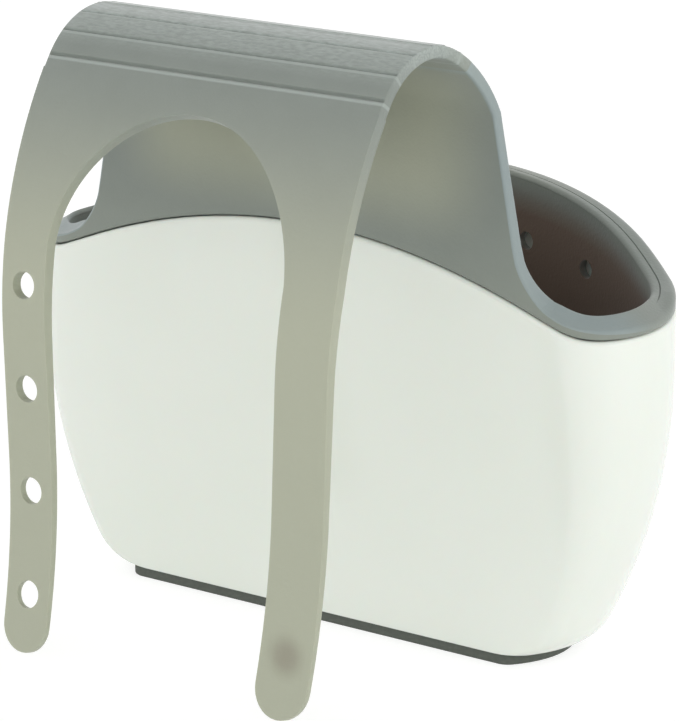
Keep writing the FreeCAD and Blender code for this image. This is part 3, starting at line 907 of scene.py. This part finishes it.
def buildSkirt():
    bm = bmesh.new()
    for side, width, holed in ((-1, strap["leftWidth"], True), (1, strap["rightWidth"], False)):
        strapRows(bm, panelHalf(bm, side, width), side, width, holed)
    bmesh.ops.remove_doubles(bm, verts=bm.verts[:], dist=0.01)
    faces = bm.faces[:]
    made = bmesh.ops.extrude_face_region(bm, geom=faces)["geom"]
    inner = [g for g in made if isinstance(g, bmesh.types.BMVert)]
    bmesh.ops.translate(bm, vec=(0, saddle["sheet"], 0), verts=inner)
    bmesh.ops.recalc_face_normals(bm, faces=bm.faces[:])
    ends = [f for f in bm.faces if abs(f.calc_center_median().z - topZ) < 1e-3]
    bmesh.ops.delete(bm, geom=ends, context="FACES")
    sharp = [e for e in bm.edges if len(e.link_faces) == 2 and e.calc_face_angle() > 1.0]
    bmesh.ops.bevel(bm, geom=sharp, offset=saddle["edgeRound"], offset_type="OFFSET", affect="EDGES",
                    segments=3, profile=0.5, material=-1, clamp_overlap=True)
    # painted shadow of the stud: a soft dark spot on the strap round the stud's place
    inside = bm.verts.layers.float.new("inside")
    for v in bm.verts:
        away = math.hypot(v.co.x - strapX(stud["z"]), v.co.z - stud["z"])
        v[inside] = stud["shade"] * ease(stud["shadeEdge"] - away / stud["head"] / stud["shadeSpread"])
    return bm


def skirtPiece(flat, name, low, high, side):
    # part of the flat sheet between two heights, bent along the path
    bm = flat.copy()
    spare = []
    for f in bm.faces:
        middle = f.calc_center_median()
        if not low < middle.z < high or middle.x * side < 0:
            spare.append(f)
    bmesh.ops.delete(bm, geom=spare, context="FACES")
    for v in bm.verts:
        y, z = skirtPoint(v.co.z, v.co.y * thickness(v.co.z) / saddle["sheet"])
        v.co = (v.co.x, y, z)
    return finishPiece(bm, name, rubber)


def skirtMiddle(x, z):
    y, z = skirtPoint(z, thickness(z) / 2)
    return Vector((x, y, z)) * mm


flatSkirt = buildSkirt()
panelSkin = skirtPiece(flatSkirt, "panel_skin", strap["seams"][0], 200, 0)
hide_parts("strap_panel")
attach(panelSkin, "panel")
for name, side in (("left", -1), ("right", 1)):
    cuts = list(strap["seams"]) + [-10]
    bodies = ["panel"] + ["%s_strap_link_%d" % (name, k) for k in (1, 2, 3)]
    for k, slit in enumerate(reversed(strap["slits"])):
        piece = skirtPiece(flatSkirt, "%s_strap_skin_%d" % (name, k + 1), cuts[k + 1], cuts[k], side)
        x = side * strapX(slit)
        reach = strap["bendReach"]
        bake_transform(piece, bodies[k], bodies[k + 1], skirtMiddle(x, slit + reach), skirtMiddle(x, slit - reach))
        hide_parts(bodies[k + 1])
flatSkirt.free()
print("panel and straps made")


studSkin = buildStud()
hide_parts("button_stud")
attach(studSkin, "right_strap_link_3")
print("stud made")


# floor, light and background

studio = {"floor": 6000, "glow": 1.25, "glowShare": 0.6, "horizon": 2.18, "zenith": 0.05, "sideLight": 2.1,
          "lampSize": 900, "lampPlace": (1300, -250, 600), "lampAim": (0, 0, 80)}

bm = bmesh.new()
bmesh.ops.create_grid(bm, x_segments=1, y_segments=1, size=studio["floor"] * mm)
floorMesh = bpy.data.meshes.new("floor")
bm.to_mesh(floorMesh)
bm.free()
floorObject = bpy.data.objects.new("floor", floorMesh)
scene.collection.objects.link(floorObject)


def seenRay(tree):
    # 1 for camera, mirror and see-through rays, which show the plain white background
    path = addNode(tree, "ShaderNodeLightPath", {}, {})
    either = addNode(tree, "ShaderNodeMath", {"operation": "MAXIMUM"},
                     {0: (path, "Is Camera Ray"), 1: (path, "Is Glossy Ray")})
    return addNode(tree, "ShaderNodeMath", {"operation": "MAXIMUM"},
                   {0: (either, "Value"), 1: (path, "Is Transmission Ray")})


floorMaterial, tree = newMaterial("pale_floor")
part = addNode(tree, "ShaderNodeMath", {"operation": "MULTIPLY", 1: studio["glowShare"]},
               {0: (seenRay(tree), "Value")})
matte = addNode(tree, "ShaderNodeBsdfDiffuse", {"Color": colour("#f7f8f6")}, {})
glow = addNode(tree, "ShaderNodeEmission", {"Strength": studio["glow"]}, {})
shown = addNode(tree, "ShaderNodeMixShader", {},
                {"Fac": (part, "Value"), 1: (matte, "BSDF"), 2: (glow, "Emission")})
addNode(tree, "ShaderNodeOutputMaterial", {}, {"Surface": (shown, "Shader")})
floorMesh.materials.append(floorMaterial)

world = bpy.data.worlds.new("studio")
scene.world = world
world.use_nodes = True
tree = world.node_tree
tree.nodes.clear()
way = addNode(tree, "ShaderNodeTexCoord", {}, {})
height = addNode(tree, "ShaderNodeSeparateXYZ", {}, {"Vector": (way, "Generated")})
level = addNode(tree, "ShaderNodeMapRange", {"To Min": studio["horizon"], "To Max": studio["zenith"]},
                {"Value": (height, "Z")})
sky = addNode(tree, "ShaderNodeBackground", {"Color": (1, 1, 1, 1)}, {"Strength": (level, "Result")})
plain = addNode(tree, "ShaderNodeBackground", {"Color": (1, 1, 1, 1), "Strength": 1.0}, {})
shown = addNode(tree, "ShaderNodeMixShader", {},
                {"Fac": (seenRay(tree), "Value"), 1: (sky, "Background"), 2: (plain, "Background")})
addNode(tree, "ShaderNodeOutputWorld", {}, {"Surface": (shown, "Shader")})

lamp = bpy.data.lights.new("side_light", "AREA")
lamp.energy = studio["sideLight"]
lamp.size = studio["lampSize"] * mm
lampObject = bpy.data.objects.new("side_light", lamp)
scene.collection.objects.link(lampObject)
lampObject.location = Vector(studio["lampPlace"]) * mm
aim = Vector(studio["lampAim"]) - Vector(studio["lampPlace"])
lampObject.rotation_euler = aim.to_track_quat("-Z", "Y").to_euler()

scene.view_settings.view_transform = "Standard"
print("studio lit")
